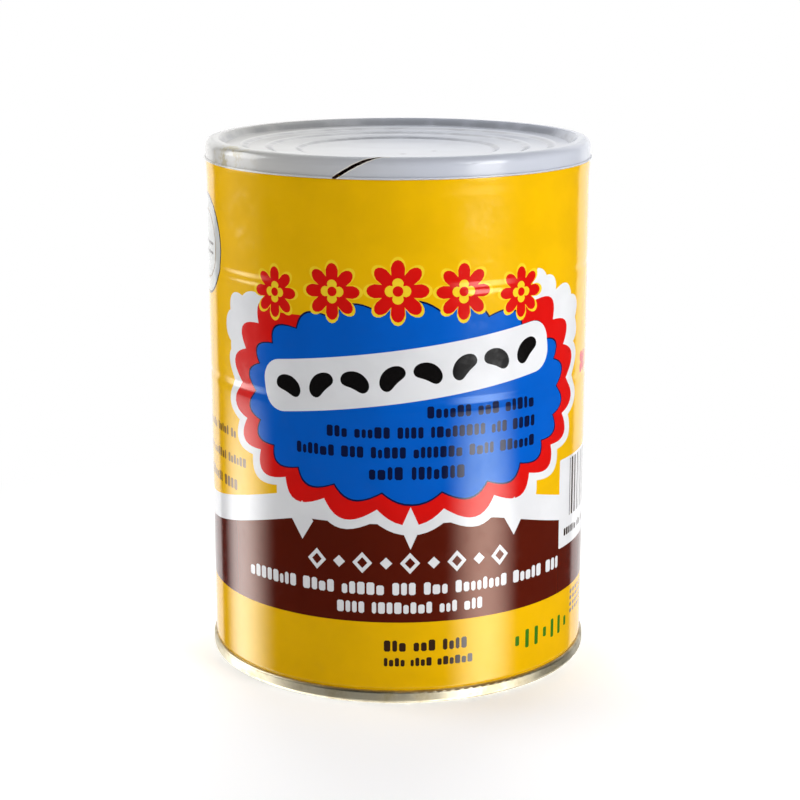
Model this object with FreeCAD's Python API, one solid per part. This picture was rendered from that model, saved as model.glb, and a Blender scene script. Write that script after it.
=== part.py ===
import FreeCAD, Part
import math
import os

# A shut 500 g food can: a printed, welded steel body, a seamed tinplate end at
# the top and at the bottom, and a press-on plastic cap that is cracked at the front.
# Millimetres, +Z up, origin on the floor under the centre, front towards -Y.

# Body
BODY_RADIUS = 41.75       # outside of the printed wall
SEAMED_HEIGHT = 114.3     # floor to the top of the upper seam
SHEET = 0.25              # thickness of the tinplate
HOOP_TOP = 25.8           # upper hoop, below the top of the can
HOOP_SPACING = 24.0
HOOP_COUNT = 2
HOOP_HALF_WIDTH = 1.1
HOOP_DEPTH = 0.2
HOOP_BEND = 1.2
FLARE_HEIGHT = 4.5        # the wall opens a little towards its top
FLARE_REACH = 0.15
FLARE_BEND = 30.0
FLARE_STEPS = 3
SHOULDER_RISE = 0.5       # step from the wall to a neck, at both ends
SHOULDER_BEND = 0.5
NECK_LENGTH = 0.25        # straight neck between shoulder and seam
LAP_WIDTH = 1.2           # welded side seam, between two printed panels
LAP_RISE = 0.12
LAP_PLACE = 113.0         # degrees round from the front

# Seamed ends
BOTTOM_SEAM_REACH = 0.55  # the bottom seam stands out past the wall
TOP_SEAM_INSET = 0.85     # the top seam is necked in, to carry the cap
SEAM_HEIGHT = 2.8
SEAM_THICKNESS = 1.3      # across its five folded layers
SEAM_ROUND = 0.8          # outer edge that the can stands on
SEAM_INNER_ROUND = 0.3
SEAM_HOOK_ROUND = 0.5     # edge that faces the wall
PANEL_DEPTH = 3.0         # outer panel, below the edge of the seam
PANEL_STEP = 0.4          # each expansion ring steps the panel down
COUNTERSINK_DROP = 0.7    # groove at the chuck wall, below the centre panel
COUNTERSINK_WIDTH = 1.8
END_BEND = 0.5
END_RING_LANDS = (6.0, 7.0)
END_RING_RUN = 1.4
SLIP = 0.05               # body wall to the sheet folded round it
HEADSPACE = 0.1           # contents to the ends

# Cap
CAP_WALL = 0.9
CAP_FIT = 0.1             # cap to seam, all round
CROWN_RUN = 1.2           # slope of the wall inside the crown
CROWN_BEND = 0.5
RING_LANDS = (3.4, 3.5, 4.9)
RING_RUNS = (1.9, 1.8, 1.3)
RING_DROP = 0.47          # each ring steps the cap down
RING_BEND = 0.6
NEST_GAP = 0.8            # centre of the cap over the centre of the end
LIP_REACH = 0.35
LIP_HEIGHT = 0.5
LIP_ROUND = 0.22
LIP_GAP = 0.08            # lip over the shoulder
SNAP_RADIUS = 0.2         # short beads that hold the cap under the seam
SNAP_DROP = 0.1
SNAP_COUNT = 6
SNAP_SPAN = 40.0          # degrees that each bead takes up

# Crack in the skirt of the cap
CRACK_START = -17.0       # degrees round from the front, at the lip
CRACK_END = -4.0          # at the top of the crown
CRACK_WIDTH = 0.55        # at the lip, tapering to nothing
CRACK_TIP = 0.02
CRACK_JAG = 0.07          # the torn edge swings this far each way
CRACK_STEPS = 13
CRACK_MARGIN = 0.4        # the cutter stands out of both faces

AXIS = FreeCAD.Vector(0, 0, 1)
ORIGIN = FreeCAD.Vector(0, 0, 0)


# Profiles in the plane of radius and height

def point(corner):
    return FreeCAD.Vector(corner[0], 0, corner[1])


def run(start, end):
    """A straight edge, or none where two bends meet."""
    if start.distanceToPoint(end) < 1e-6:
        return []
    return [Part.makeLine(start, end)]


def bent_path(corners):
    """Edges through corners (radius, height, bend), with a tangent arc at each bend."""
    edges = []
    here = point(corners[0])
    for before, corner, after in zip(corners, corners[1:], corners[2:]):
        tip = point(corner)
        back = (point(before) - tip).normalize()
        ahead = (point(after) - tip).normalize()
        half_turn = (math.pi - back.getAngle(ahead)) / 2
        bend = corner[2]
        if bend <= 0 or half_turn < 1e-4:
            edges += run(here, tip)
            here = tip
            continue
        start = tip + back * (bend * math.tan(half_turn))
        end = tip + ahead * (bend * math.tan(half_turn))
        middle = tip + (back + ahead).normalize() * (bend / math.cos(half_turn) - bend)
        edges += run(here, start)
        edges.append(Part.Arc(start, middle, end).toShape())
        here = end
    return edges + run(here, point(corners[-1]))


def closed_path(corners):
    """The same, closed. It starts halfway along its last side."""
    first, last = corners[0], corners[-1]
    start = ((first[0] + last[0]) / 2, (first[1] + last[1]) / 2, 0)
    return bent_path([start] + list(corners) + [start])


def far_side(corners, thickness):
    """The other face of a sheet, on the right of the path: its bends share their centres."""
    normals = []
    for start, end in zip(corners, corners[1:]):
        length = math.dist(start[:2], end[:2])
        normals.append(((end[1] - start[1]) / length, (start[0] - end[0]) / length))
    normals = [normals[0]] + normals + [normals[-1]]
    shifted = []
    for corner, a, b in zip(corners, normals, normals[1:]):
        share = thickness / (1 + a[0] * b[0] + a[1] * b[1])
        turns_left = a[0] * b[1] - a[1] * b[0] > 0
        bend = corner[2] + thickness if turns_left else corner[2] - thickness
        if corner[2] == 0:
            bend = 0
        shifted.append((corner[0] + share * (a[0] + b[0]), corner[1] + share * (a[1] + b[1]),
                        max(bend, 0)))
    return shifted


def revolved(edges, angle=360):
    solid = Part.Face(Part.Wire(edges)).revolve(ORIGIN, AXIS, angle)
    return solid.Solids[0] if solid.Solids else solid


def revolved_sheet(corners, thickness):
    near = bent_path(corners)
    other = far_side(corners, thickness)
    far = bent_path(other)
    ends = run(point(corners[0]), point(other[0])) + run(point(corners[-1]), point(other[-1]))
    return revolved(Part.__sortEdges__(near + far + ends))


def stepped_panel(outer_radius, height, lands, runs, drop, bend):
    """A panel from its rim to its centre: flat lands, each stepping down through a ring."""
    corners = []
    radius = outer_radius
    for land, ring_run in zip(lands, runs):
        radius -= land
        corners.append((radius, height, bend))
        radius -= ring_run
        height -= drop
        corners.append((radius, height, bend))
    return corners + [(0, height, 0)]


# Heights and radii that several pieces share

def seam_radii(outer):
    """Inside and outside of a seam, then inside and outside of the wall that enters it."""
    inner = outer - SEAM_THICKNESS
    return inner, outer, inner + SHEET + SLIP, inner + 2 * SHEET + SLIP


BOTTOM_SEAM = seam_radii(BODY_RADIUS + BOTTOM_SEAM_REACH)
TOP_SEAM = seam_radii(BODY_RADIUS - TOP_SEAM_INSET)
CENTRE_DEPTH = PANEL_DEPTH + PANEL_STEP * len(END_RING_LANDS)
COUNTERSINK_DEPTH = CENTRE_DEPTH + COUNTERSINK_DROP
FILL_DEPTH = COUNTERSINK_DEPTH + SHEET + HEADSPACE

TOP_SEAM_FOOT = SEAMED_HEIGHT - SEAM_HEIGHT
TOP_NECK_FOOT = TOP_SEAM_FOOT - NECK_LENGTH
TOP_SHOULDER = TOP_NECK_FOOT - SHOULDER_RISE
BOTTOM_NECK_TOP = SEAM_HEIGHT + NECK_LENGTH
BOTTOM_SHOULDER = BOTTOM_NECK_TOP + SHOULDER_RISE

SKIRT_INNER = TOP_SEAM[1] + CAP_FIT
SKIRT_OUTER = SKIRT_INNER + CAP_WALL
CROWN = SEAMED_HEIGHT + CAP_WALL
CROWN_ROUND = SEAM_ROUND + CAP_WALL
LIP_FOOT = TOP_SHOULDER + LIP_GAP
LIP_TOP = LIP_FOOT + LIP_HEIGHT


# Body

def wall(radius):
    """The straight wall with its hoops, from the bottom up."""
    corners = []
    for number in reversed(range(HOOP_COUNT)):
        height = SEAMED_HEIGHT - HOOP_TOP - number * HOOP_SPACING
        corners.append((radius, height - HOOP_HALF_WIDTH, HOOP_BEND))
        corners.append((radius - HOOP_DEPTH, height, HOOP_BEND))
        corners.append((radius, height + HOOP_HALF_WIDTH, HOOP_BEND))
    return corners


def flare():
    """The wall opens faster the nearer it comes to the shoulder."""
    corners = []
    for step in range(FLARE_STEPS):
        share = step / FLARE_STEPS
        corners.append((BODY_RADIUS + FLARE_REACH * share ** 2,
                        TOP_SHOULDER - FLARE_HEIGHT * (1 - share), FLARE_BEND))
    return corners


def side_lap():
    """The welded lap, a low rib up the wall between the two ends."""
    low = BOTTOM_SHOULDER + SHOULDER_BEND
    high = TOP_SHOULDER - FLARE_HEIGHT
    inside = BODY_RADIUS - HOOP_DEPTH - LAP_RISE
    face = BODY_RADIUS + LAP_RISE
    corners = [(inside, low, 0), (face, low, 0)] + wall(face) + [(face, high, 0), (inside, high, 0)]
    angle = math.degrees(LAP_WIDTH / BODY_RADIUS)
    lap = revolved(closed_path(corners), angle)
    lap.rotate(ORIGIN, AXIS, LAP_PLACE - 90 - angle / 2)
    return lap


def can_body():
    """The printed wall and what it holds, shut at both ends."""
    _, _, low_inner, low_outer = BOTTOM_SEAM
    _, _, top_inner, top_outer = TOP_SEAM
    corners = [(0, FILL_DEPTH, 0), (low_inner, FILL_DEPTH, 0), (low_inner, SEAM_HEIGHT, 0),
               (low_outer, SEAM_HEIGHT, 0), (low_outer, BOTTOM_NECK_TOP, 0),
               (BODY_RADIUS, BOTTOM_SHOULDER, SHOULDER_BEND)]
    corners += wall(BODY_RADIUS)
    corners += flare()
    corners += [(BODY_RADIUS + FLARE_REACH, TOP_SHOULDER, SHOULDER_BEND),
                (top_outer, TOP_NECK_FOOT, 0), (top_outer, TOP_SEAM_FOOT, 0),
                (top_inner, TOP_SEAM_FOOT, 0), (top_inner, SEAMED_HEIGHT - FILL_DEPTH, 0),
                (0, SEAMED_HEIGHT - FILL_DEPTH, 0)]
    return revolved(closed_path(corners)).fuse(side_lap()).removeSplitter()


# Ends

def seamed_end(seam):
    """One end with its double seam. The edge of the seam is at height 0 and the end below it."""
    inner, outer, _, _ = seam
    fold = closed_path([(inner, 0, SEAM_INNER_ROUND), (outer, 0, SEAM_ROUND),
                        (outer, -SEAM_HEIGHT, SEAM_HOOK_ROUND), (inner, -SEAM_HEIGHT, 0)])
    panel_radius = inner - COUNTERSINK_WIDTH
    rings = len(END_RING_LANDS)
    panel = stepped_panel(panel_radius, -PANEL_DEPTH, END_RING_LANDS, [END_RING_RUN] * rings,
                          PANEL_STEP, END_BEND)
    groove = COUNTERSINK_WIDTH / 3
    sheet = list(reversed(panel)) + [
        (panel_radius, -PANEL_DEPTH, END_BEND), (panel_radius + groove, -COUNTERSINK_DEPTH, END_BEND),
        (inner, -COUNTERSINK_DEPTH, END_BEND), (inner, -SEAM_INNER_ROUND, 0)]
    return revolved(fold).fuse(revolved_sheet(sheet, SHEET)).removeSplitter()


def bottom_end():
    end = seamed_end(BOTTOM_SEAM)
    end.rotate(ORIGIN, FreeCAD.Vector(1, 0, 0), 180)
    return end


def top_end():
    end = seamed_end(TOP_SEAM)
    end.translate(AXIS * SEAMED_HEIGHT)
    return end


# Cap

def cap_shell():
    """Panel with three stepped rings, crown and skirt, as one even wall."""
    centre = SEAMED_HEIGHT - CENTRE_DEPTH + NEST_GAP + CAP_WALL
    rim = centre + RING_DROP * len(RING_LANDS)
    slope = math.hypot(CROWN_RUN, CROWN - rim)
    crown_inner = TOP_SEAM[0] - CAP_FIT - CAP_WALL * (slope - CROWN_RUN) / (CROWN - rim)
    foot = crown_inner - CROWN_RUN
    panel = stepped_panel(foot, rim, RING_LANDS, RING_RUNS, RING_DROP, RING_BEND)
    corners = list(reversed(panel)) + [
        (foot, rim, RING_BEND), (crown_inner, CROWN, CROWN_BEND),
        (SKIRT_OUTER, CROWN, CROWN_ROUND), (SKIRT_OUTER, LIP_TOP, 0)]
    return revolved_sheet(corners, CAP_WALL)


def cap_lip():
    """The turned-out lip. Its underside follows the shoulder of the body."""
    slope = SHOULDER_RISE / (BODY_RADIUS + FLARE_REACH - TOP_SEAM[3])
    inner_foot = LIP_FOOT + slope * (BODY_RADIUS + FLARE_REACH - SKIRT_INNER)
    edge = SKIRT_OUTER + LIP_REACH
    return revolved(closed_path([
        (SKIRT_INNER, LIP_TOP, 0), (SKIRT_INNER, inner_foot, 0), (BODY_RADIUS + FLARE_REACH, LIP_FOOT, 0),
        (edge, LIP_FOOT, LIP_ROUND), (edge, LIP_TOP, LIP_ROUND)]))


def snap_beads():
    """Half-round beads round the inside of the skirt. The crack starts between two of them."""
    height = TOP_SEAM_FOOT - SNAP_DROP
    near, far = SKIRT_INNER - SNAP_RADIUS, SKIRT_INNER + SNAP_RADIUS
    low, high = height - SNAP_RADIUS, height + SNAP_RADIUS
    section = closed_path([(far, low, 0), (near, low, SNAP_RADIUS),
                           (near, high, SNAP_RADIUS), (far, high, 0)])
    pitch = 360 / SNAP_COUNT
    beads = []
    for number in range(SNAP_COUNT):
        bead = revolved(section, SNAP_SPAN)
        bead.rotate(ORIGIN, AXIS, CRACK_START + pitch * (number + 0.5) - SNAP_SPAN / 2 - 90)
        beads.append(bead)
    return beads


def crack_section(share, swing):
    """Cross-section of the cutter, square to the face of the cap, at a share of its length."""
    azimuth = math.radians(CRACK_START + (CRACK_END - CRACK_START) * share)
    height = LIP_TOP + (CROWN - LIP_TOP) * math.sin(share * math.pi / 2)
    rise = min(max((height - (CROWN - CROWN_ROUND)) / CROWN_ROUND, 0), 1)
    tilt = math.asin(rise)
    centre_radius = SKIRT_OUTER - CROWN_ROUND
    centre_height = min(height, CROWN - CROWN_ROUND)
    half_width = max(CRACK_WIDTH * math.sqrt(1 - share), CRACK_TIP) / 2
    shift = swing * CRACK_JAG * (1 - share)
    corners = []
    for depth, side in ((CRACK_MARGIN, 1), (CRACK_MARGIN, -1), (-CAP_WALL - CRACK_MARGIN, -1),
                        (-CAP_WALL - CRACK_MARGIN, 1)):
        reach = CROWN_ROUND + depth
        along = shift + side * half_width
        radius = centre_radius + reach * math.cos(tilt) - along * math.sin(tilt)
        level = centre_height + reach * math.sin(tilt) + along * math.cos(tilt)
        corners.append(FreeCAD.Vector(radius * math.sin(azimuth), -radius * math.cos(azimuth), level))
    return Part.makePolygon(corners + [corners[0]])


def crack():
    sections = []
    for step in range(CRACK_STEPS):
        swing = 0 if step == 0 else (-1) ** step
        sections.append(crack_section(step / (CRACK_STEPS - 1), swing))
    return Part.makeLoft(sections, True, True)


def overcap():
    whole = cap_shell().fuse([cap_lip()] + snap_beads()).removeSplitter()
    return whole.cut(crack())


NODES = {"can_body": can_body, "bottom_end": bottom_end, "top_end": top_end, "overcap": overcap}

os.makedirs("parts", exist_ok=True)
for name, build in NODES.items():
    shape = build()
    solids = shape.Solids
    box = shape.BoundBox
    print(name, len(solids), "solid", shape.isValid(), round(shape.Volume, 1),
          [round(value, 3) for value in (box.XMin, box.XMax, box.YMin, box.YMax, box.ZMin, box.ZMax)])
    solids[0].exportStep("parts/" + name + ".step")
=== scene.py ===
import math
import random

import bpy
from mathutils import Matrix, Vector
from mathutils.geometry import delaunay_2d_cdt

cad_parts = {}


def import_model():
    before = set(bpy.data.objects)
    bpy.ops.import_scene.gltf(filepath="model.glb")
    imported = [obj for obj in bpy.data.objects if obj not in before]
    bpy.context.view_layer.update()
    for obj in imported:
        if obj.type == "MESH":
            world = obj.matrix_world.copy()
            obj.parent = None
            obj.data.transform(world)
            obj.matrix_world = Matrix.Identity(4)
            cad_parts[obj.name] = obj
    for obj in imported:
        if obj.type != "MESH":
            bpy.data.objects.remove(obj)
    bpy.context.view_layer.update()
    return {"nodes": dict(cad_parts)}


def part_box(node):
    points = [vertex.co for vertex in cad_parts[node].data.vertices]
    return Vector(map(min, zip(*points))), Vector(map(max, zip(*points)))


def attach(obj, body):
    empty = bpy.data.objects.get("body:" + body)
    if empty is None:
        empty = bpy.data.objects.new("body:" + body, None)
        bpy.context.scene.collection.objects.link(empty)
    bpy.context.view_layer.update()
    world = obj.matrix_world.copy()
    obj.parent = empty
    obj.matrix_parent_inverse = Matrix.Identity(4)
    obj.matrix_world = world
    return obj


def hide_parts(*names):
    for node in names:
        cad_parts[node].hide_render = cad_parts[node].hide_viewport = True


# The dressed can: a printed wall wrapped from a flat layout, tinplate ends and a white cap.
# The flat layout is in millimetres, as (distance round the wall, height). Distance 0 is the
# middle of the front and grows towards +X. Everything else is in metres, as in the frame.

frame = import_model()
MM = 0.001

# Wall
BODY_LOW, BODY_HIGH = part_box("can_body")
WALL_RADIUS = 41.75
WALL_FOOT = BODY_LOW.z / MM
WALL_TOP = BODY_HIGH.z / MM
HALF_ROUND = math.pi * WALL_RADIUS
SHOULDER_TOP = 110.75
SHOULDER_FOOT = 3.55
NECK_RADIUS_TOP = 40.15
NECK_RADIUS_FOOT = 41.55
NECK_TURN = 0.5           # height in which the wall turns in to the top neck
HOOP_HEIGHTS = (88.5, 64.5)
HOOP_HALF_WIDTH = 1.6
HOOP_DEPTH = 0.09
FLARE_HEIGHT = 4.5        # the wall widens a little up to its top shoulder
FLARE_REACH = 0.15
FLARE_END = 0.3           # and stops widening this far under it
LAP_ALONG = WALL_RADIUS * math.radians(113)       # welded side lap, a low rib
LAP_WIDTH = 1.2
LAP_RISE = 0.12
LAP_EDGE = 0.12           # width of the bend on each side of it
LAP_GUARD = 0.15          # flat strip kept beside each bend
LAP_FOOT = 4.05
LAP_HEAD = 106.25
BARE_WIDTH = 4.6          # unprinted strip that the lap is welded in
END_PANEL = 4.85          # what is in the can starts this far inside each seam
WALL_INNER_FOOT = 41.3    # the wall's inner radius in the bottom seam
WALL_INNER_TOP = 39.9     # and in the top seam
COLUMN_STEP = 0.95        # of the wall's mesh, before the print is cut in
ROW_STEP = 1.9
FINE_ROW_STEP = 0.25      # near the hoops and both ends
FINE_REACH = 2.0          # how near a hoop
SIDE_STEP = 0.8           # longest upright side of a printed shape
CLOSE = 1e-4              # points nearer than this to a line of the layout lie on it
MERGED = 1e-3             # and points of the print that are nearer to each other are one

# Print
PANEL_CENTRES = (0.0, HALF_ROUND)
BAND_FOOT = 18.0          # brown band
BAND_SIDE = 31.5
BAND_RISE = 10.4
STRIPE_WIDTH = 5.7        # white stripe above it

# Cap, in the sizes of the frame's node
CAP_RINGS = (38.1, 33.3, 28.0, 21.6)      # feet of the cap's steps, darkened there with painted shade
CAP_ROUND = 1.7           # round of the crown
CAP_ROUND_RADIUS = 40.2   # where that round has its middle
CAP_ROUND_HEIGHT = 113.5
CRACK_FOOT = 111.33
CRACK_START = -17.0       # degrees round from the front
CRACK_END = -4.0
CRACK_WIDTH = 0.55
CRACK_SLANT = 0.87        # distance across the crack for each distance up the skin
CRACK_JAG = 0.24
CRACK_EDGE = 0.04

random.seed(11)


def smooth(edge0, edge1, value):
    """0 at one edge and 1 at the other, with an even start and end."""
    t = min(max((value - edge0) / (edge1 - edge0), 0.0), 1.0)
    return t * t * (3 - 2 * t)


# --- Wall surface -------------------------------------------------------------------------

def wall_radius(along, height):
    """Radius of the wall at a place of the flat layout."""
    radius = WALL_RADIUS
    for hoop in HOOP_HEIGHTS:
        reach = abs(height - hoop) / HOOP_HALF_WIDTH
        if reach < 1:
            radius -= HOOP_DEPTH * math.cos(reach * math.pi / 2) ** 2
    radius += FLARE_REACH * smooth(SHOULDER_TOP - FLARE_HEIGHT, SHOULDER_TOP - FLARE_END, height)
    if height > SHOULDER_TOP:
        t = smooth(SHOULDER_TOP, SHOULDER_TOP + NECK_TURN, height)
        radius += (NECK_RADIUS_TOP - WALL_RADIUS - FLARE_REACH) * t
    if height < SHOULDER_FOOT:
        radius += (NECK_RADIUS_FOOT - WALL_RADIUS) * smooth(SHOULDER_FOOT, WALL_FOOT, height)
    beside = abs(along - LAP_ALONG) - LAP_WIDTH / 2
    if beside < LAP_EDGE and LAP_FOOT < height < LAP_HEAD:
        radius += LAP_RISE * (1 - smooth(0, LAP_EDGE, beside))
    return radius + dents(along, height)


def crease(along, height, middle, length, width, tilt, depth):
    """A soft straight crease, pushed in along a line through its middle."""
    x, z = along - middle[0], height - middle[1]
    c, s = math.cos(math.radians(tilt)), math.sin(math.radians(tilt))
    across = (-s * x + c * z) / width
    down = (c * x + s * z) / length
    return -depth * math.exp(-across * across - down * down)


def dents(along, height):
    """Shallow knocks of the thin sheet, on the upper left of the front and at the right."""
    total = crease(along, height, (-36.0, 101.5), 6.0, 1.6, 32, 0.10)
    total += crease(along, height, (-34.5, 98.5), 4.0, 2.6, -20, 0.12)
    total += crease(along, height, (-12.0, 98.0), 12.0, 3.0, 4, 0.05)
    total += crease(along, height, (41.0, 84.0), 5.0, 1.8, 50, 0.09)
    total += crease(along, height, (20.0, 101.0), 9.0, 4.0, -35, 0.04)
    return total


def wall_point(along, height):
    """A place of the flat layout on the round wall, in metres."""
    radius = wall_radius(along, height)
    angle = along / WALL_RADIUS
    return Vector((radius * math.sin(angle), -radius * math.cos(angle), height)) * MM


def wall_normal(along, height):
    """Which way the wall faces there."""
    step = 0.05
    round_it = wall_point(along + step, height) - wall_point(along - step, height)
    up = wall_point(along, height + step) - wall_point(along, height - step)
    return round_it.cross(up).normalized()


# --- Shapes of the print ------------------------------------------------------------------

def placed(shape, middle, tilt):
    """A shape drawn round (0, 0), turned by a tilt in degrees and moved to its middle."""
    c, s = math.cos(math.radians(tilt)), math.sin(math.radians(tilt))
    return [(middle[0] + c * x - s * z, middle[1] + s * x + c * z) for x, z in shape]


def disc(middle, radius, count=20):
    shape = []
    for i in range(count):
        a = 2 * math.pi * i / count
        shape.append((middle[0] + radius * math.cos(a), middle[1] + radius * math.sin(a)))
    return shape


def bar(middle, width, height, tilt=0.0, corner=0.35, count=4):
    """A plaque or dash with rounded corners."""
    corner = min(corner, width / 2 - 0.01, height / 2 - 0.01)
    shape = []
    for quarter, (sx, sz) in enumerate(((1, 1), (-1, 1), (-1, -1), (1, -1))):
        for i in range(count + 1):
            a = math.pi / 2 * (quarter + i / count)
            shape.append((sx * (width / 2 - corner) + corner * math.cos(a),
                          sz * (height / 2 - corner) + corner * math.sin(a)))
    return placed(shape, middle, tilt)


def bean(middle, length, width, tilt, count=26):
    """A plump bean: an oval with its lower side drawn in."""
    shape = []
    for i in range(count):
        a = 2 * math.pi * i / count
        x, z = length / 2 * math.cos(a), width / 2 * math.sin(a)
        hollow = 0.22 if math.sin(a) < 0 else 0.03
        z += hollow * width * (1 - (2 * x / length) ** 2) ** 2 - 0.06 * width
        shape.append((x, z))
    return placed(shape, middle, tilt)


def medallion(middle, half_width, half_height, lobes, depth, fullness=0.9, count=10):
    """An oval whose edge is a row of even round lobes. It is an ellipse at a fullness of 1,
    and its sides are fuller below that."""
    shape = []
    total = lobes * count
    for i in range(total):
        a = 2 * math.pi * i / total
        bulge = abs(math.sin(lobes * a / 2)) - 1
        c, s = math.cos(a), math.sin(a)
        x = math.copysign(abs(c) ** fullness, c) * (half_width + depth * bulge)
        z = math.copysign(abs(s) ** fullness, s) * (half_height + depth * bulge)
        shape.append((middle[0] + x, middle[1] + z))
    return shape


def rosette(middle, radius, petals, waist=0.55, turn=0.0, count=8):
    """Round petals from one middle. The waist is how far out they part, as a share."""
    shape = []
    total = petals * count
    for i in range(total):
        a = 2 * math.pi * i / total
        reach = waist + (1 - waist) * abs(math.cos(petals * a / 2)) ** 0.7
        shape.append((middle[0] + radius * reach * math.sin(a + turn),
                      middle[1] + radius * reach * math.cos(a + turn)))
    return shape


def lozenge(middle, half_width, half_height):
    """A diamond that stands on its point."""
    x, z = middle
    return [(x + half_width, z), (x, z + half_height), (x - half_width, z), (x, z - half_height)]


def cut_off(shape, limit, side):
    """What is left of a shape on one side of a place round the wall: before it for side 1,
    and after it for side -1."""
    kept = []
    for a, b in zip(shape, shape[1:] + shape[:1]):
        a_in = side * (limit - a[0]) >= 0
        if a_in:
            kept.append(a)
        if a_in != (side * (limit - b[0]) >= 0):
            share = (limit - a[0]) / (b[0] - a[0])
            kept.append((limit, a[1] + share * (b[1] - a[1])))
    return kept


def wrapped(shape):
    """A shape as it lies in the flat layout, in two parts where it crosses the layout's ends."""
    parts = []
    for turn in (0, -2 * HALF_ROUND):
        moved = [(x + turn, z) for x, z in shape]
        part = cut_off(cut_off(moved, HALF_ROUND, 1), -HALF_ROUND, -1)
        if len(part) > 2:
            parts.append(part)
    return parts


def blocks(start, end, height, tall):
    """A line of small plain blocks in uneven groups, from one end to the other."""
    shapes = []
    x = start
    left = random.randint(3, 8)
    while x < end - 0.4 * tall:
        width = tall * random.uniform(0.34, 0.62)
        low = random.choice((0.0, 0.0, 0.22))
        middle = (x + width / 2, height - low * tall / 2)
        shapes.append(bar(middle, width, tall * (1 - low), corner=0.12 * tall, count=1))
        left -= 1
        x += width + 0.16 * tall
        if not left:
            x += 0.5 * tall
            left = random.randint(3, 8)
    return shapes


# --- The print, in painting order ----------------------------------------------------------

def band_top(along):
    """Top edge of the brown band: high under each front panel, low between them."""
    return BAND_SIDE + BAND_RISE * (0.5 + 0.5 * math.cos(2 * along / WALL_RADIUS))


def band_shapes():
    """The brown band and the white stripe above it, right round the can."""
    steps = 120
    places = [-HALF_ROUND + 2 * HALF_ROUND * i / steps for i in range(steps + 1)]
    foot = [(HALF_ROUND, BAND_FOOT), (-HALF_ROUND, BAND_FOOT)]
    stripe = [(x, band_top(x) + STRIPE_WIDTH) for x in places]
    brown = [(x, band_top(x)) for x in places]
    return [("white", stripe + foot), ("brown", brown + foot)]


def medallion_shapes():
    """Blue field in a scalloped red border on a white ground, open to the yellow at the top,
    with three points under it."""
    centre = 2.6
    middle = (centre, 66.0)
    field = (2.9, 65.0)
    shapes = [("white", bar((centre, 45), 60, 11, corner=4)),
              ("white", medallion((-35.3, 77.6), 9.0, 8.6, 7, 1.4)),
              ("white", medallion((38.0, 78.4), 10.8, 8.8, 8, 1.4)),
              ("white", medallion((31.5, 84.6), 7.2, 6.6, 6, 1.2)),
              ("white", medallion(middle, 46.0, 28.9, 22, 2.6)),
              ("red", medallion(middle, 43.6, 26.8, 22, 3.2)),
              ("yellow", [(-27, 82.6), (28, 82.6), (34, 96), (-34, 96)]),
              ("navy", medallion(field, 38.7, 21.6, 22, 2.4)),
              ("blue", medallion(field, 38.3, 21.2, 22, 2.4)),
              ("white", lozenge((centre, 38.6), 2.0, 4.6))]
    return shapes + [("white", lozenge((centre + off, 39.0), 2.6, 4.2)) for off in (-23.5, 23.5)]


def ornament_shapes():
    """Five red rosettes in an arc over the blue field, each in a pale yellow edge."""
    shapes = []
    spacing, bow = 13.6, 0.0022
    for i in (-2, -1, 0, 1, 2):
        x = spacing * i
        place = (x, 88.4 - bow * x * x)
        size = 6.4 - 0.55 * abs(i)
        shapes.append(("pale_yellow", rosette(place, size + 0.7, 8)))
        shapes.append(("red", rosette(place, size, 8)))
        shapes.append(("pale_yellow", rosette(place, size * 0.42, 4)))
        shapes.append(("red", disc(place, size * 0.17)))
    return shapes


def plaque_shapes():
    """White plaque across the blue field, tilted, with a row of black beans."""
    tilt = 7.5
    middle = (2.5, 71.0)
    shapes = [("white", bar(middle, 66, 11.0, tilt, corner=4.4, count=8))]
    row = placed([((i - 3.5) * 7.6, 0) for i in range(8)], middle, tilt)
    for i, place in enumerate(row):
        shapes.append(("black", bean(place, 6.3, 4.5, tilt + (38 if i % 2 else -30))))
    return shapes


def text_blocks(lines):
    """Lines of plain blocks, each given as its colour, start, end, height and how tall."""
    shapes = []
    for colour, start, end, height, tall in lines:
        shapes += [(colour, block) for block in blocks(start, end, height, tall)]
    return shapes


def line_shapes():
    """The lines of one front, and a row of lozenges on the band."""
    shapes = text_blocks([("navy", 6, 32, 63.2, 2.5), ("navy", -15, 32, 59.0, 2.4),
                          ("navy", -22, 32, 54.8, 2.4), ("navy", -6, 15, 50.4, 2.8),
                          ("white", -36, 42, 25.4, 2.7), ("white", -13, 19, 21.2, 2.5),
                          ("ink", -3, 16, 12.8, 2.5), ("ink", -3, 17, 9.2, 1.9)])
    spacing = 5.0
    for i in range(9):
        place = (2.5 + (i - 4) * spacing, 31.0)
        if i % 2:
            shapes.append(("white", lozenge(place, 1.3, 1.3)))
        else:
            shapes.append(("white", lozenge(place, 2.1, 2.3)))
            shapes.append(("brown", lozenge(place, 1.1, 1.2)))
    return shapes


def side_shapes():
    """Between the fronts: lines and a plain badge on the left, red marks on the right."""
    shapes = text_blocks([("faint", -82, -40, 54.0, 2.0), ("faint", -82, -37, 48.2, 2.0),
                          ("faint", -82, -39, 42.6, 2.3)])
    badge = (-57.5, 93.0)
    for colour, radius in (("ink", 11.0), ("pale_grey", 10.5), ("faint", 7.6), ("pale_grey", 7.2)):
        shapes.append((colour, disc(badge, radius, count=48)))
    for height in (91.4, 93.4):
        shapes.append(("ink", bar((badge[0], height), 11.0, 0.6)))
    for i in range(3):
        shapes.append(("red", rosette((54.0 + 8.0 * i, 67.5), 3.0, 4, 0.5, 0.78)))
    return shapes


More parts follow.
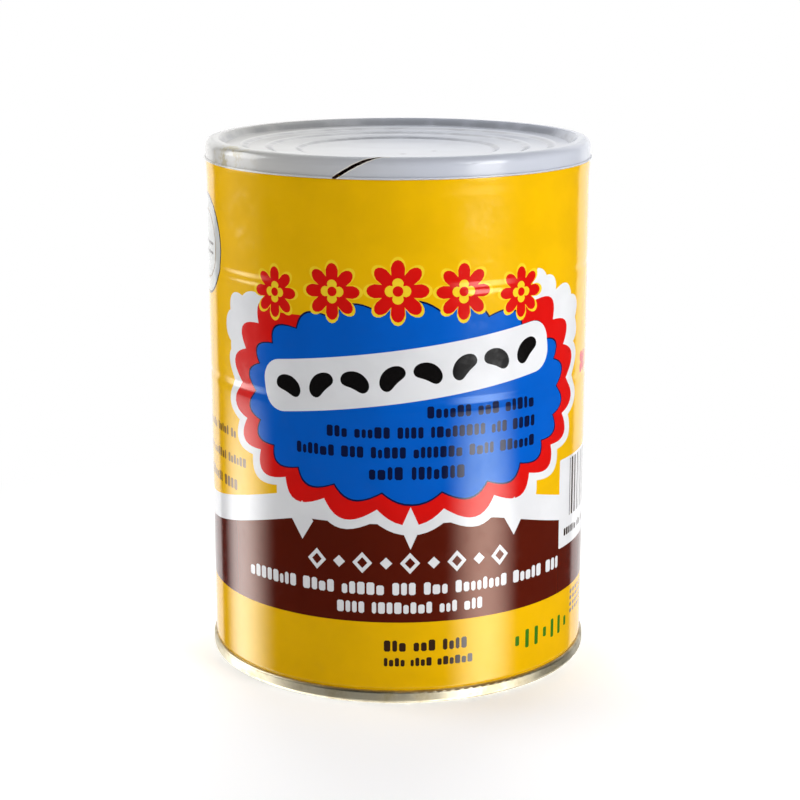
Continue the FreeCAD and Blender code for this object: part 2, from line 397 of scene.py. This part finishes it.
def bar_panel_shapes():
    """White panel with upright bars of uneven width, and a line under them."""
    shapes = [("white", bar((59.0, 38.0), 35.6, 20.0, corner=0.4))]
    x, end = 46.3, 73.0
    while x < end:
        width = random.choice((0.35, 0.35, 0.7, 1.05))
        shapes.append(("ink", bar((x + width / 2, 40.9), width, 13.0, corner=0.05)))
        x += width + random.choice((0.4, 0.7, 1.1))
    return shapes + text_blocks([("ink", 43.6, end, 31.2, 1.7)])


def stamp_shapes():
    """A stamped row of green dashes, and a patch of small grey dots."""
    shapes = []
    for i in range(7):
        shapes.append(("green", bar((27.5 + 2.9 * i, 10.6), 1.1, 4.2 if i % 3 else 2.2)))
    for i in range(5):
        for j in range(4):
            shapes.append(("grey", bar((48.4 + 1.9 * i, 11.8 + 1.5 * j), 1.25, 0.9)))
    return shapes


def lap_shapes():
    """The bare strip up the wall, with the welded lap along its middle. The lap has an outline
    on both sides of each of its bends, so that its shading stays as narrow as they are."""
    middle = (LAP_ALONG, (WALL_FOOT + WALL_TOP) / 2)
    shapes = [("bare", bar(middle, BARE_WIDTH, WALL_TOP - WALL_FOOT, corner=0.02))]
    levels = [LAP_FOOT] + [z for z in wall_rows() if LAP_FOOT < z < LAP_HEAD] + [LAP_HEAD]
    outlines = (("bare", LAP_EDGE + LAP_GUARD), ("bare", LAP_EDGE), ("weld", 0.0),
                ("weld", -LAP_GUARD))
    for colour, grown in outlines:
        half = LAP_WIDTH / 2 + grown
        shapes.append((colour, [(LAP_ALONG + half, z) for z in levels]
                       + [(LAP_ALONG - half, z) for z in reversed(levels)]))
    return shapes


def print_shapes():
    """Every printed shape with its ink, as it lies in the flat layout, from the lowest up."""
    front = medallion_shapes() + ornament_shapes() + plaque_shapes() + line_shapes()
    shapes = []
    for centre in PANEL_CENTRES:
        shapes += [(colour, [(x + centre, z) for x, z in shape]) for colour, shape in front]
    shapes += side_shapes() + bar_panel_shapes() + stamp_shapes() + lap_shapes()
    return band_shapes() + [(colour, part) for colour, shape in shapes for part in wrapped(shape)]


# --- Wall mesh -----------------------------------------------------------------------------

def wall_rows():
    """Heights of the rows of the wall's mesh, closer where its profile bends."""
    rows = []
    height = WALL_FOOT
    while height < WALL_TOP - 0.1:
        rows.append(height)
        near_hoop = min(abs(height - hoop) for hoop in HOOP_HEIGHTS) < FINE_REACH
        near_end = height < SHOULDER_FOOT + 0.3 or height > SHOULDER_TOP - FLARE_HEIGHT
        height += FINE_ROW_STEP if near_hoop or near_end else ROW_STEP
    return rows + [WALL_TOP]


def ready(shape):
    """A shape turned anticlockwise, with its sides cut short enough to follow the wall."""
    area = sum(a[0] * b[1] - b[0] * a[1] for a, b in zip(shape, shape[1:] + shape[:1]))
    if area < 0:
        shape = shape[::-1]
    fine = []
    for a, b in zip(shape, shape[1:] + shape[:1]):
        along_end = abs(a[0]) > HALF_ROUND - 1e-6 and abs(b[0] - a[0]) < 1e-6
        parts = math.ceil(max(abs(b[0] - a[0]) / COLUMN_STEP, abs(b[1] - a[1]) / SIDE_STEP))
        parts = 1 if along_end else max(parts, 1)
        fine += [(a[0] + (b[0] - a[0]) * i / parts, a[1] + (b[1] - a[1]) * i / parts)
                 for i in range(parts)]
    return fine


def printed_sheet():
    """The flat layout cut along every printed edge: its points, faces and the ink of each."""
    shapes = print_shapes()
    rows = wall_rows()
    count = round(2 * HALF_ROUND / COLUMN_STEP)
    places = [-HALF_ROUND + 2 * HALF_ROUND * i / count for i in range(count + 1)]
    points = [Vector((x, z)) for z in rows for x in places]
    above = (len(rows) - 1) * (count + 1)
    outlines = [list(range(count + 1)) + list(range(above + count, above - 1, -1))]
    for colour, shape in shapes:
        shape = ready(shape)
        outlines.append(list(range(len(points), len(points) + len(shape))))
        points += [Vector(p) for p in shape]
    flat, edges, cut, from_points, from_edges, from_faces = delaunay_2d_cdt(
        points, [], outlines, 1, MERGED)
    faces, inks = [], []
    for face, sources in zip(cut, from_faces):
        if sources:
            faces.append(list(face))
            inks.append(shapes[max(sources) - 1][0] if max(sources) else "yellow")
    return flat, faces, inks


def joined_at_back(flat, faces, inks):
    """The layout with its two ends on one row of points, and no face without area."""
    first = {round(p.y, 3): i for i, p in enumerate(flat) if p.x < -HALF_ROUND + CLOSE}
    joined = [first[round(p.y, 3)] if abs(p.x) > HALF_ROUND - CLOSE else i
              for i, p in enumerate(flat)]
    kept = sorted(set(joined))
    place = {i: k for k, i in enumerate(kept)}
    faces = [list(dict.fromkeys(place[joined[i]] for i in face)) for face in faces]
    inks = [ink for face, ink in zip(faces, inks) if len(face) > 2]
    faces = [face for face in faces if len(face) > 2]
    return [flat[i] for i in kept], faces, inks


def close_end(corners, faces, ring, radius, heights):
    """Turns the wall in under a seam, through rings at two heights, to a flat disc."""
    above = heights[0] > WALL_TOP / 2
    for height in heights:
        start = len(corners)
        for i in ring:
            flat = Vector((corners[i].x, corners[i].y, 0)).normalized() * radius
            corners.append(Vector((flat.x, flat.y, height)) * MM)
        inner = list(range(start, len(corners)))
        for k in range(len(ring)):
            n = (k + 1) % len(ring)
            side = [ring[k], ring[n], inner[n], inner[k]]
            faces.append(side if above else side[::-1])
        ring = inner
    faces.append(ring if above else ring[::-1])


def printed_wall():
    """One closed mesh. Its normals are those of the wall itself, so that the print's many
    narrow faces don't show in the gloss."""
    points, faces, inks = joined_at_back(*printed_sheet())
    corners = [wall_point(p.x, p.y) for p in points]
    normals = [wall_normal(p.x, p.y) for p in points]
    printed = len(faces)
    top_panel = WALL_TOP + WALL_FOOT - END_PANEL
    for edge, radius, panel in ((WALL_FOOT, WALL_INNER_FOOT, END_PANEL),
                                (WALL_TOP, WALL_INNER_TOP, top_panel)):
        ring = [k for k, p in enumerate(points) if abs(p.y - edge) < CLOSE]
        ring.sort(key=lambda k: points[k].x)
        close_end(corners, faces, ring, radius, (edge, panel))
    inks += ["yellow"] * (len(faces) - printed)

    mesh = bpy.data.meshes.new("printed_wall")
    mesh.from_pydata(corners, [], faces)
    colours = sorted(set(inks))
    for colour in colours:
        mesh.materials.append(print_material(colour))
    mesh.polygons.foreach_set("material_index", [colours.index(ink) for ink in inks])
    mesh.polygons.foreach_set("use_smooth", [True] * len(faces))
    shading = []
    for face in mesh.polygons:
        shading += [normals[i] if face.index < printed else face.normal for i in face.vertices]
    mesh.normals_split_custom_set(shading)
    return mesh


def build_wall():
    wall = bpy.data.objects.new("printed_wall", printed_wall())
    bpy.context.scene.collection.objects.link(wall)
    return wall


# --- Node trees ----------------------------------------------------------------------------

class Tree:
    """A short way to write nodes. A value is a number, a colour or another node's output."""

    def __init__(self, tree):
        self.tree = tree

    def add(self, kind, **settings):
        node = self.tree.nodes.new(kind)
        for name, value in settings.items():
            setattr(node, name, value)
        return node

    def put(self, value, socket):
        if isinstance(value, bpy.types.NodeSocket):
            self.tree.links.new(value, socket)
        else:
            socket.default_value = value

    def math(self, kind, first, second=0.0):
        node = self.add("ShaderNodeMath", operation=kind)
        self.put(first, node.inputs[0])
        self.put(second, node.inputs[1])
        return node.outputs[0]

    def ramp(self, value, start, end, low=0.0, high=1.0, shape="SMOOTHSTEP"):
        node = self.add("ShaderNodeMapRange", interpolation_type=shape)
        for slot, number in zip(("Value", "From Min", "From Max", "To Min", "To Max"),
                                (value, start, end, low, high)):
            self.put(number, node.inputs[slot])
        return node.outputs["Result"]

    def mix(self, factor, first, second):
        """Two shaders in one."""
        node = self.add("ShaderNodeMixShader")
        self.put(factor, node.inputs["Fac"])
        self.put(first, node.inputs[1])
        self.put(second, node.inputs[2])
        return node.outputs[0]

    def shader(self, kind, **settings):
        node = self.add(kind)
        for name, value in settings.items():
            self.put(value, node.inputs[name])
        return node.outputs[0]


# --- Materials -----------------------------------------------------------------------------

def linear(red, green, blue):
    """A colour given as it looks on a screen, 0 to 255, as the shaders want it."""
    values = []
    for level in (red, green, blue):
        level /= 255
        values.append(level / 12.92 if level < 0.04045 else ((level + 0.055) / 1.055) ** 2.4)
    return (*values, 1.0)


INKS = {
    "yellow": (244, 189, 2), "pale_yellow": (252, 214, 44), "blue": (0, 94, 202),
    "navy": (6, 20, 62), "red": (222, 18, 14), "brown": (88, 23, 9), "white": (236, 237, 240),
    "black": (14, 12, 12), "ink": (56, 36, 22), "green": (58, 124, 26), "grey": (120, 110, 88),
    "bare": (178, 172, 154), "weld": (104, 98, 88), "pale_grey": (204, 206, 204),
    "faint": (132, 94, 18),
}
METALS = ("bare", "weld")       # no ink, but the sheet itself
GLEAMS = {                      # tints of the gloss over the larger fields
    "yellow": (1.0, 0.95, 0.5, 1), "pale_yellow": (1.0, 0.95, 0.6, 1), "blue": (0.64, 0.87, 1.0, 1),
    "red": (1.0, 0.66, 0.60, 1), "brown": (1.0, 0.68, 0.54, 1),
}


class Finish(Tree):
    """A material's nodes, which measure in millimetres from the can's own origin."""

    def __init__(self, name):
        self.material = bpy.data.materials.new(name)
        self.material.use_nodes = True
        super().__init__(self.material.node_tree)
        self.sockets = self.tree.nodes["Principled BSDF"].inputs
        spot = self.add("ShaderNodeTexCoord")
        self.place = self.add("ShaderNodeVectorMath", operation="SCALE")
        self.put(spot.outputs["Object"], self.place.inputs[0])
        self.place.inputs["Scale"].default_value = 1 / MM
        parts = self.add("ShaderNodeSeparateXYZ")
        self.put(self.place.outputs[0], parts.inputs[0])
        self.x, self.y, self.z = parts.outputs

    def azimuth(self):
        """Degrees round from the front, growing towards +X."""
        front = self.math("MULTIPLY", self.y, -1.0)
        return self.math("DEGREES", self.math("ARCTAN2", self.x, front))

    def radius(self):
        """Distance from the can's axis."""
        square = self.math("ADD", self.math("POWER", self.x, 2.0), self.math("POWER", self.y, 2.0))
        return self.math("SQRT", square)

    def noise(self, size, detail=3.0, rough=0.5, squeeze=(1, 1, 1)):
        """Noise whose features are about this many millimetres across."""
        node = self.add("ShaderNodeTexNoise")
        node.inputs["Scale"].default_value = 1 / size
        node.inputs["Detail"].default_value = detail
        node.inputs["Roughness"].default_value = rough
        grow = self.add("ShaderNodeVectorMath", operation="MULTIPLY")
        self.put(self.place.outputs[0], grow.inputs[0])
        grow.inputs[1].default_value = squeeze
        self.put(grow.outputs[0], node.inputs["Vector"])
        return node.outputs["Fac"]

    def near(self, middle, reach):
        """1 at a place, falling to 0 at a distance from it."""
        node = self.add("ShaderNodeVectorMath", operation="DISTANCE")
        self.put(self.place.outputs[0], node.inputs[0])
        node.inputs[1].default_value = middle
        return self.ramp(node.outputs["Value"], reach, 0.0)

    def blend(self, factor, first, second):
        """Two colours in one."""
        node = self.add("ShaderNodeMix", data_type="RGBA")
        self.put(factor, node.inputs["Factor"])
        self.put(first, node.inputs[6])
        self.put(second, node.inputs[7])
        return node.outputs[2]

    def bump(self, height, depth, into=None):
        """A bump whose height of 0 to 1 stands for a depth in millimetres."""
        node = self.add("ShaderNodeBump")
        node.inputs["Strength"].default_value = 1.0
        node.inputs["Distance"].default_value = depth * MM
        self.put(height, node.inputs["Height"])
        if into is not None:
            self.put(into, node.inputs["Normal"])
        return node.outputs["Normal"]

    def crack(self, margin):
        """1 within a margin of the cap's crack, in millimetres across the cap's skin. The crack
        climbs the skirt and goes on over the crown's round, narrowing to its end."""

        def up_the_skin(height, past_round):
            rise = self.math("MULTIPLY", past_round, CAP_ROUND)
            return self.math("ADD", rise, self.math("MINIMUM", height, 0.0))

        share = self.ramp(self.azimuth(), CRACK_START, CRACK_END, shape="LINEAR")
        share.node.clamp = False
        turn = self.math("MULTIPLY", self.math("MINIMUM", share, 1.0), math.pi / 2)
        line = self.math("MULTIPLY", self.math("SINE", turn),
                         CAP_ROUND_HEIGHT + CAP_ROUND - CRACK_FOOT)
        line = self.math("ADD", line, CRACK_FOOT - CAP_ROUND_HEIGHT)
        over = self.math("MINIMUM", self.math("DIVIDE", line, CAP_ROUND), 1.0)
        middle = up_the_skin(line, self.math("ARCSINE", self.math("MAXIMUM", over, 0.0)))
        height = self.math("SUBTRACT", self.z, CAP_ROUND_HEIGHT)
        out = self.math("SUBTRACT", self.radius(), CAP_ROUND_RADIUS)
        here = up_the_skin(height, self.math("ARCTAN2", self.math("MAXIMUM", height, 0.0), out))
        off = self.math("ABSOLUTE", self.math("SUBTRACT", here, middle))
        off = self.math("MULTIPLY", off, CRACK_SLANT)
        left = self.math("MAXIMUM", self.math("SUBTRACT", 1.0, share), 0.0)
        half = self.math("MULTIPLY", self.math("SQRT", left), CRACK_WIDTH / 2)
        jag = self.math("MULTIPLY", self.math("SUBTRACT", self.noise(0.9, 2.0), 0.5), CRACK_JAG)
        beyond = self.math("ADD", self.math("SUBTRACT", off, half), jag)
        gap = self.ramp(beyond, margin + CRACK_EDGE, margin - CRACK_EDGE)
        ends = self.math("MULTIPLY", self.ramp(share, -0.10, -0.07), self.ramp(share, 1.16, 1.10))
        return self.math("MULTIPLY", gap, ends)


def print_material(name):
    """Ink on white-coated tinplate under a clear gloss varnish, or the bare sheet. The gloss
    is a little scuffed all over, and worn at one place of the upper right."""
    finish = Finish("print_" + name)
    metal = name in METALS
    colour = linear(*INKS[name])
    darker = tuple(c * 0.94 for c in colour[:3]) + (1.0,)
    patchy = finish.ramp(finish.noise(9.0, 4.0), 0.35, 0.7)
    finish.put(finish.blend(patchy, colour, darker), finish.sockets["Base Color"])
    low, high = (0.34, 0.44) if metal else (0.09, 0.20)
    scuffs = finish.ramp(finish.noise(2.2, 6.0, 0.7), 0.45, 0.75, low, high)
    worn = finish.math("MULTIPLY", finish.near((16.0, -38.0, 105.0), 14.0),
                       finish.ramp(finish.noise(0.8, 5.0, 0.8), 0.42, 0.6, 0.0, 0.10))
    finish.put(finish.math("ADD", scuffs, worn), finish.sockets["Roughness"])
    finish.sockets["IOR"].default_value = 1.5
    finish.sockets["Specular Tint"].default_value = GLEAMS.get(name, (1, 1, 1, 1))
    finish.sockets["Metallic"].default_value = 1.0 if metal else 0.0
    sheet = finish.bump(finish.noise(16.0, 1.0), 0.05)
    peel = finish.bump(finish.noise(0.45, 2.0), 0.0014, sheet)
    finish.put(peel, finish.sockets["Normal"])
    return finish.material


def tinplate_material(name, crack_shade_depth):
    """Bright rolled tinplate: fine lines round the rings, a little stained. Where the cap's crack
    lies over it, painted shade makes it near black and matt, at the strength given."""
    finish = Finish(name)
    finish.sockets["Metallic"].default_value = 1.0
    stain = finish.ramp(finish.noise(6.0, 5.0, 0.65), 0.4, 0.75, 0.0, 1.0)
    clean = finish.blend(stain, linear(206, 197, 172), linear(170, 156, 122))
    # painted shade: near black and matt where the cap's crack lies over the seam
    crack_shade = finish.math("MULTIPLY", finish.crack(0.7), crack_shade_depth)
    finish.put(finish.blend(crack_shade, clean, linear(34, 16, 8)), finish.sockets["Base Color"])
    rough = finish.ramp(finish.noise(3.0, 4.0), 0.3, 0.7, 0.34, 0.48)
    finish.put(finish.math("MAXIMUM", rough, crack_shade), finish.sockets["Roughness"])
    lines = finish.bump(finish.noise(0.35, 2.0, 0.5, (0.06, 0.06, 1.0)), 0.006)
    finish.put(lines, finish.sockets["Normal"])
    return finish.material


def cap_material():
    """White moulded plastic with a pearly sheen: painted shade in the feet of its steps, grime at
    the left of the skirt, two specks on top, and a crack with torn pale edges and painted shade
    inside."""
    finish = Finish("cap_plastic")
    white, cream = linear(199, 203, 214), linear(205, 204, 201)
    tone = finish.ramp(finish.x, 10.0, -34.0)
    colour = finish.blend(tone, white, cream)
    radius = finish.radius()
    patchy = finish.ramp(finish.noise(5.0, 4.0), 0.35, 0.6, 0.5, 1.0)
    # painted shade: a patchy darker grey round the foot of each step
    for ring in CAP_RINGS:
        off = finish.math("ABSOLUTE", finish.math("SUBTRACT", radius, ring))
        step_shade = finish.math("MULTIPLY", finish.ramp(off, 1.2, 0.2, 0.0, 0.55), patchy)
        colour = finish.blend(step_shade, colour, linear(128, 130, 136))
    grimy = finish.ramp(finish.noise(3.2, 5.0, 0.7), 0.48, 0.62, 0.0, 0.8)
    grimy = finish.math("MULTIPLY", grimy, finish.near((-35.5, -22.5, 112.8), 13.0))
    colour = finish.blend(grimy, colour, linear(176, 164, 120))
    for middle, reach in (((1.08, -8.98, 112.2), 1.3), ((7.82, -3.36, 112.2), 1.1)):
        speck = finish.math("MULTIPLY", finish.near(middle, reach), 0.6)
        colour = finish.blend(speck, colour, linear(110, 100, 90))
    colour = finish.blend(finish.crack(0.30), colour, linear(236, 232, 224))
    # painted shade: the crack's gap is drawn near black-brown
    colour = finish.blend(finish.crack(0.10), colour, linear(40, 16, 8))
    finish.put(colour, finish.sockets["Base Color"])
    finish.put(finish.ramp(finish.noise(14.0, 2.0), 0.3, 0.7, 0.14, 0.20),
               finish.sockets["Roughness"])
    finish.sockets["IOR"].default_value = 1.5
    return finish.material


def dress(node, material):
    """Gives a node of the frame its material."""
    mesh = frame["nodes"][node].data
    mesh.materials.clear()
    mesh.materials.append(material)


# --- Studio --------------------------------------------------------------------------------

FILL = 0.13               # even light from all round
DIM = 0.04                # what glossy surfaces see in front of the can
BEHIND = (177.0, 39.5, 1.15)      # behind it they see white: middle azimuth, half width, strength
BEHIND_HEAD = (30.0, 44.0)        # which fades between these slopes
BELOW = (-24.5, 0.85)             # and a pale floor below this slope: slope, strength
GLINTS = ((54.0, 26.0, 8.5), (-108.0, 28.0, 6.0))     # bright low lamps, given as BEHIND is
GLINT_HEAD = (-16.5, -12.0)       # which fade between these slopes
FLOOR_SEEN = 0.80         # the floor's own white, to the camera
FLOOR_LIFT = 0.42         # light of its own, which keeps its shadow pale
FLOOR_NEAR = (0.06, 0.17)         # between these distances it turns plain white
FLOOR_BOUNCE = 0.90       # its white to everything else
CAMERA_PLACE = (0.0, -0.43177, 0.16104)
CAMERA_DOWN = 13.698      # degrees
CAMERA_ASIDE = -0.0597
CAMERA_LENS = 88.77
AIM = Vector((0.0, 0.0, 0.06))
# Lamps: name, azimuth, height, distance, width, how tall, power, seen in gloss
LAMPS = (("key", 51, 0.26, 0.75, 0.30, 0.50, 4.5, True),
         ("left", -104, 0.30, 0.80, 0.45, 0.60, 5.0, True),
         ("back", 178, 0.62, 0.60, 0.70, 0.50, 5.8, False))


def camera():
    data = bpy.data.cameras.new("camera")
    data.sensor_width = 36.0
    data.lens = CAMERA_LENS
    data.clip_start = 0.01
    seen = bpy.data.objects.new("camera", data)
    seen.location = CAMERA_PLACE
    seen.rotation_euler = (math.radians(90 - CAMERA_DOWN), 0.0, math.radians(CAMERA_ASIDE))
    bpy.context.scene.collection.objects.link(seen)
    bpy.context.scene.camera = seen


def softbox(name, azimuth, height, distance, width, tall, power, glossy):
    """An area lamp round the can: azimuth 0 is the front, growing towards +X."""
    a = math.radians(azimuth)
    data = bpy.data.lights.new(name, "AREA")
    data.shape = "RECTANGLE"
    data.size = width
    data.size_y = tall
    data.energy = power
    lamp = bpy.data.objects.new(name, data)
    lamp.location = (distance * math.sin(a), -distance * math.cos(a), height)
    lamp.rotation_euler = (AIM - lamp.location).to_track_quat("-Z", "Y").to_euler()
    lamp.visible_glossy = glossy
    bpy.context.scene.collection.objects.link(lamp)


def mirrored_light(tree):
    """What glossy surfaces see, by direction: dim in front of the can and overhead, white
    behind it, pale below, and a low soft glint for each lamp."""
    where = tree.add("ShaderNodeTexCoord")
    parts = tree.add("ShaderNodeSeparateXYZ")
    tree.put(where.outputs["Generated"], parts.inputs[0])
    front = tree.math("MULTIPLY", parts.outputs["Y"], -1.0)
    angle = tree.math("ARCTAN2", parts.outputs["X"], front)
    slope = tree.math("DEGREES", tree.math("ARCSINE", parts.outputs["Z"]))

    def facing(azimuth):
        return tree.math("COSINE", tree.math("SUBTRACT", angle, math.radians(azimuth)))

    middle, half, strength = BEHIND
    total = tree.ramp(facing(middle), math.cos(math.radians(half + 2)),
                      math.cos(math.radians(half - 2)), DIM, strength)
    total = tree.math("MULTIPLY", total, tree.ramp(slope, *BEHIND_HEAD, 1.0, 0.12))
    edge, strength = BELOW
    total = tree.math("MAXIMUM", total, tree.ramp(slope, edge - 3, edge + 1, strength, 0.0))
    low = tree.ramp(slope, *GLINT_HEAD, 1.0, 0.04)
    for azimuth, half, strength in GLINTS:
        glint = tree.ramp(facing(azimuth), math.cos(math.radians(half)), 1.0, shape="LINEAR")
        glint = tree.math("MULTIPLY", tree.math("POWER", glint, 2.0), strength)
        total = tree.math("ADD", total, tree.math("MULTIPLY", glint, low))
    return total


def grey(level):
    return (level, level, level, 1)


def floor():
    """White to the camera away from the can, with the can's soft shadow near it. Glossy
    surfaces look through it to the world, which gives them their surroundings."""
    size = 6.0
    mesh = bpy.data.meshes.new("floor")
    corners = [(-size, -size, 0), (size, -size, 0), (size, size, 0), (-size, size, 0)]
    mesh.from_pydata(corners, [], [(0, 1, 2, 3)])
    plane = bpy.data.objects.new("floor", mesh)
    bpy.context.scene.collection.objects.link(plane)
    material = bpy.data.materials.new("floor")
    material.use_nodes = True
    tree = Tree(material.node_tree)
    tree.tree.nodes.clear()
    path = tree.add("ShaderNodeLightPath")
    spot = tree.add("ShaderNodeTexCoord")
    reach = tree.add("ShaderNodeVectorMath", operation="LENGTH")
    tree.put(spot.outputs["Object"], reach.inputs[0])
    lit = tree.add("ShaderNodeAddShader")
    tree.put(tree.shader("ShaderNodeBsdfDiffuse", Color=grey(FLOOR_SEEN)), lit.inputs[0])
    tree.put(tree.shader("ShaderNodeEmission", Strength=FLOOR_LIFT), lit.inputs[1])
    white = tree.shader("ShaderNodeEmission", Strength=1.0)
    seen = tree.mix(tree.ramp(reach.outputs["Value"], *FLOOR_NEAR), lit.outputs[0], white)
    bounce = tree.shader("ShaderNodeBsdfDiffuse", Color=grey(FLOOR_BOUNCE))
    clear = tree.shader("ShaderNodeBsdfTransparent")
    unseen = tree.mix(path.outputs["Is Glossy Ray"], bounce, clear)
    out = tree.add("ShaderNodeOutputMaterial")
    tree.put(tree.mix(path.outputs["Is Camera Ray"], unseen, seen), out.inputs["Surface"])
    mesh.materials.append(material)


def world():
    """White to the camera, even light to the surfaces, and a pattern in reflections."""
    around = bpy.data.worlds.new("world")
    bpy.context.scene.world = around
    around.use_nodes = True
    tree = Tree(around.node_tree)
    tree.tree.nodes.clear()
    path = tree.add("ShaderNodeLightPath")
    plain = tree.shader("ShaderNodeBackground", Color=grey(1), Strength=FILL)
    mirrored = tree.shader("ShaderNodeBackground", Color=grey(1), Strength=mirrored_light(tree))
    white = tree.shader("ShaderNodeBackground", Color=grey(1), Strength=1.0)
    unseen = tree.mix(path.outputs["Is Glossy Ray"], plain, mirrored)
    shown = tree.math("MAXIMUM", path.outputs["Is Camera Ray"], path.outputs["Is Transmission Ray"])
    out = tree.add("ShaderNodeOutputWorld")
    tree.put(tree.mix(shown, unseen, white), out.inputs["Surface"])


def studio():
    for lamp in LAMPS:
        softbox(*lamp)
    floor()
    world()


# --- Together ------------------------------------------------------------------------------

bpy.context.scene.view_settings.view_transform = "Standard"
camera()
studio()

wall = build_wall()
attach(wall, "root")
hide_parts("can_body")

dress("bottom_end", tinplate_material("tinplate", 0.0))
dress("top_end", tinplate_material("tinplate_crack_shaded", 1.0))
dress("overcap", cap_material())
